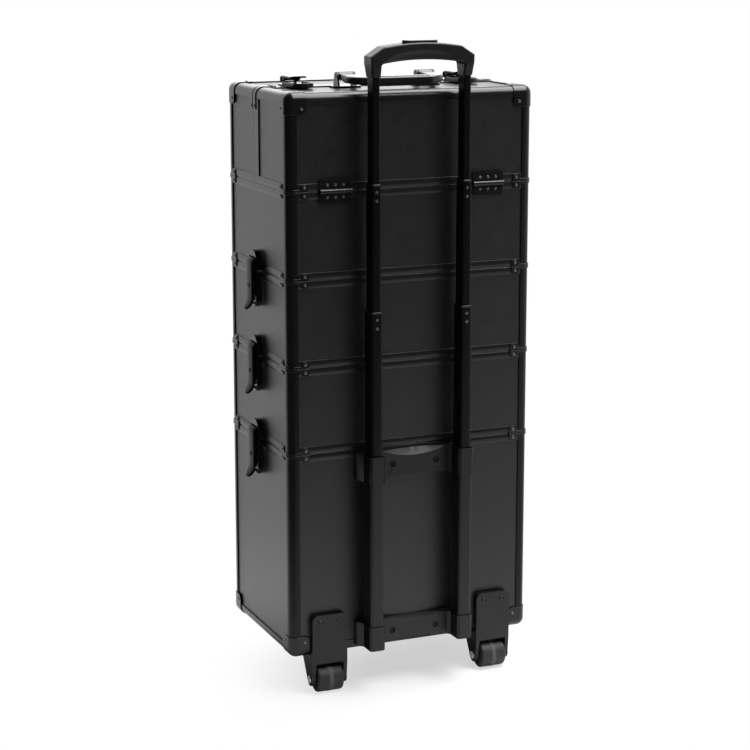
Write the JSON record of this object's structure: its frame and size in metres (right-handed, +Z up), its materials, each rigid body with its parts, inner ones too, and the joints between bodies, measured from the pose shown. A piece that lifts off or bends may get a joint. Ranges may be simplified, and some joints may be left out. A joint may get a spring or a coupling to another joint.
{
  "type": "rolling makeup case",
  "caption": "Tall black rolling vanity case: stacked latched tiers, split hinged lid with cantilever trays, telescopic pull handle and rear wheels.",
  "frame": {"origin": "middle of the footprint box, on the floor", "axes": "+Z up, +Y towards the pull handle at the back, +X across the case"},
  "size_m": [0.3796, 0.2638, 0.846],
  "materials": {
    "laminate_panel": "board faced with fine-grained matte black laminate",
    "anodised_profile": "satin black anodised extrusion",
    "black_hardware": "semi-gloss black lacquered metal",
    "moulded_black": "fine-textured black moulding",
    "gloss_black": "smooth black moulding",
    "wheel_rubber": "hard black rubber, lightly scuffed",
    "axle_steel": "plain steel"
  },
  "bodies": {
    "base": {"base_panels": "laminate_panel", "base_frame": "anodised_profile", "base_corners": "black_hardware", "base_latch_strikes": "black_hardware", "outer_tubes": "anodised_profile", "upper_bridge": "moulded_black", "lower_bridge": "moulded_black", "bridge_screws": "black_hardware", "wheel_housings": "moulded_black", "wheel_axles": "axle_steel", "front_feet": "moulded_black", "foot_pads": "wheel_rubber"},
    "left_wheel": {"left_wheel": "wheel_rubber"},
    "right_wheel": {"right_wheel": "wheel_rubber"},
    "stage_1": {"stage_1_tubes": "anodised_profile"},
    "stage_2": {"stage_2_tubes": "anodised_profile"},
    "stage_3": {"stage_3_tubes": "anodised_profile", "pull_grip": "moulded_black"},
    "release_button": {"release_button": "gloss_black"},
    "tier_a": {"tier_a_panels": "laminate_panel", "tier_a_frame": "anodised_profile", "tier_a_corners": "black_hardware", "tier_a_latch_fittings": "black_hardware"},
    "tier_b": {"tier_b_panels": "laminate_panel", "tier_b_frame": "anodised_profile", "tier_b_corners": "black_hardware", "tier_b_latch_fittings": "black_hardware"},
    "top_tray": {"top_tray_panels": "laminate_panel", "top_tray_frame": "anodised_profile", "top_tray_corners": "black_hardware", "top_tray_latch_caps": "black_hardware", "top_tray_hinge_leaves": "black_hardware", "tray_pivot_plates": "black_hardware"},
    "tier_a_left_lever": {"tier_a_left_lever": "black_hardware"},
    "tier_a_right_lever": {"tier_a_right_lever": "black_hardware"},
    "tier_b_left_lever": {"tier_b_left_lever": "black_hardware"},
    "tier_b_right_lever": {"tier_b_right_lever": "black_hardware"},
    "top_tray_left_lever": {"top_tray_left_lever": "black_hardware"},
    "top_tray_right_lever": {"top_tray_right_lever": "black_hardware"},
    "front_lid": {"front_lid_panels": "laminate_panel", "front_lid_frame": "anodised_profile", "front_lid_corners": "black_hardware", "front_lid_hinge_leaves": "black_hardware", "lid_latch_caps": "black_hardware"},
    "back_lid": {"back_lid_panels": "laminate_panel", "back_lid_frame": "anodised_profile", "back_lid_corners": "black_hardware", "back_lid_hinge_leaves": "black_hardware", "lid_latch_strikes": "black_hardware", "carry_brackets": "black_hardware"},
    "lid_left_lever": {"lid_left_lever": "black_hardware"},
    "lid_right_lever": {"lid_right_lever": "black_hardware"},
    "carry_grip": {"carry_grip": "gloss_black"},
    "front_arm_a": {"front_arm_a": "black_hardware"},
    "front_arm_b": {"front_arm_b": "black_hardware"},
    "front_tray": {"front_tray": "moulded_black"},
    "back_arm_a": {"back_arm_a": "black_hardware"},
    "back_arm_b": {"back_arm_b": "black_hardware"},
    "back_tray": {"back_tray": "moulded_black"}
  },
  "joints": [
    {"name": "tier_a_lift", "type": "slide", "parent": "base", "child": "tier_a", "axis": [0, 0, 1], "range_m": [0, 0.08]},
    {"name": "tier_b_lift", "type": "slide", "parent": "tier_a", "child": "tier_b", "axis": [0, 0, 1], "range_m": [0, 0.08]},
    {"name": "top_tray_lift", "type": "slide", "parent": "tier_b", "child": "top_tray", "axis": [0, 0, 1], "range_m": [0, 0.08]},
    {"name": "tier_a_left_latch", "type": "hinge", "parent": "tier_a", "child": "tier_a_left_lever", "pos_m": [-0.178, -0.0151, 0.3342], "axis": [0, 1, 0], "range_deg": [0, 115]},
    {"name": "tier_a_right_latch", "type": "hinge", "parent": "tier_a", "child": "tier_a_right_lever", "pos_m": [0.178, -0.0151, 0.3342], "axis": [0, -1, 0], "range_deg": [0, 115]},
    {"name": "tier_b_left_latch", "type": "hinge", "parent": "tier_b", "child": "tier_b_left_lever", "pos_m": [-0.178, -0.0151, 0.4467], "axis": [0, 1, 0], "range_deg": [0, 115]},
    {"name": "tier_b_right_latch", "type": "hinge", "parent": "tier_b", "child": "tier_b_right_lever", "pos_m": [0.178, -0.0151, 0.4467], "axis": [0, -1, 0], "range_deg": [0, 115]},
    {"name": "top_tray_left_latch", "type": "hinge", "parent": "top_tray", "child": "top_tray_left_lever", "pos_m": [-0.178, -0.0151, 0.5592], "axis": [0, 1, 0], "range_deg": [0, 115]},
    {"name": "top_tray_right_latch", "type": "hinge", "parent": "top_tray", "child": "top_tray_right_lever", "pos_m": [0.178, -0.0151, 0.5592], "axis": [0, -1, 0], "range_deg": [0, 115]},
    {"name": "front_lid_hinge", "type": "hinge", "parent": "top_tray", "child": "front_lid", "pos_m": [0, -0.1287, 0.6595], "axis": [1, 0, 0], "range_deg": [0, 100]},
    {"name": "back_lid_hinge", "type": "hinge", "parent": "top_tray", "child": "back_lid", "pos_m": [0, 0.0985, 0.6595], "axis": [-1, 0, 0], "range_deg": [0, 4]},
    {"name": "lid_left_latch", "type": "hinge", "parent": "front_lid", "child": "lid_left_lever", "pos_m": [-0.116, -0.0371, 0.7905], "axis": [1, 0, 0], "range_deg": [0, 115]},
    {"name": "lid_right_latch", "type": "hinge", "parent": "front_lid", "child": "lid_right_lever", "pos_m": [0.116, -0.0371, 0.7905], "axis": [1, 0, 0], "range_deg": [0, 115]},
    {"name": "carry_grip_pivot", "type": "hinge", "parent": "back_lid", "child": "carry_grip", "pos_m": [0, 0.0069, 0.7955], "axis": [1, 0, 0], "range_deg": [0, 95]},
    {"name": "stage_1_slide", "type": "slide", "parent": "base", "child": "stage_1", "axis": [0, 0, 1], "range_m": [-0.185, 0]},
    {"name": "stage_2_slide", "type": "slide", "parent": "stage_1", "child": "stage_2", "axis": [0, 0, 1], "range_m": [-0.158, 0]},
    {"name": "stage_3_slide", "type": "slide", "parent": "stage_2", "child": "stage_3", "axis": [0, 0, 1], "range_m": [-0.13, 0]},
    {"name": "button_press", "type": "slide", "parent": "stage_3", "child": "release_button", "axis": [0, 0, 1], "range_m": [-0.003, 0], "stiffness_N_per_m": 300},
    {"name": "left_wheel_spin", "type": "hinge", "parent": "base", "child": "left_wheel", "pos_m": [-0.118, 0.0909, 0.018], "axis": [1, 0, 0], "continuous": true},
    {"name": "right_wheel_spin", "type": "hinge", "parent": "base", "child": "right_wheel", "pos_m": [0.118, 0.0909, 0.018], "axis": [1, 0, 0], "continuous": true},
    {"name": "front_arm_a_pivot", "type": "hinge", "parent": "top_tray", "child": "front_arm_a", "pos_m": [0, -0.1047, 0.6735], "axis": [1, 0, 0], "range_deg": [0, 100]},
    {"name": "front_arm_b_pivot", "type": "hinge", "parent": "top_tray", "child": "front_arm_b", "pos_m": [0, -0.07474, 0.6735], "axis": [1, 0, 0], "range_deg": [0, 100]},
    {"name": "front_tray_pivot", "type": "hinge", "parent": "front_arm_a", "child": "front_tray", "pos_m": [0, -0.06946, 0.70307], "axis": [1, 0, 0], "range_deg": [-100, 0]},
    {"name": "back_arm_a_pivot", "type": "hinge", "parent": "top_tray", "child": "back_arm_a", "pos_m": [0, 0.0745, 0.6735], "axis": [-1, 0, 0], "range_deg": [0, 4]},
    {"name": "back_arm_b_pivot", "type": "hinge", "parent": "top_tray", "child": "back_arm_b", "pos_m": [0, 0.02454, 0.6735], "axis": [-1, 0, 0], "range_deg": [0, 4]},
    {"name": "back_tray_pivot", "type": "hinge", "parent": "back_arm_a", "child": "back_tray", "pos_m": [0, 0.03926, 0.70307], "axis": [-1, 0, 0], "range_deg": [-4, 0]}
  ],
  "couplings": [
    {"joint": "front_arm_a_pivot", "follows": "front_lid_hinge", "ratio": 1},
    {"joint": "front_arm_b_pivot", "follows": "front_lid_hinge", "ratio": 1},
    {"joint": "front_tray_pivot", "follows": "front_lid_hinge", "ratio": -1},
    {"joint": "back_arm_a_pivot", "follows": "back_lid_hinge", "ratio": 1},
    {"joint": "back_arm_b_pivot", "follows": "back_lid_hinge", "ratio": 1},
    {"joint": "back_tray_pivot", "follows": "back_lid_hinge", "ratio": -1}
  ]
}
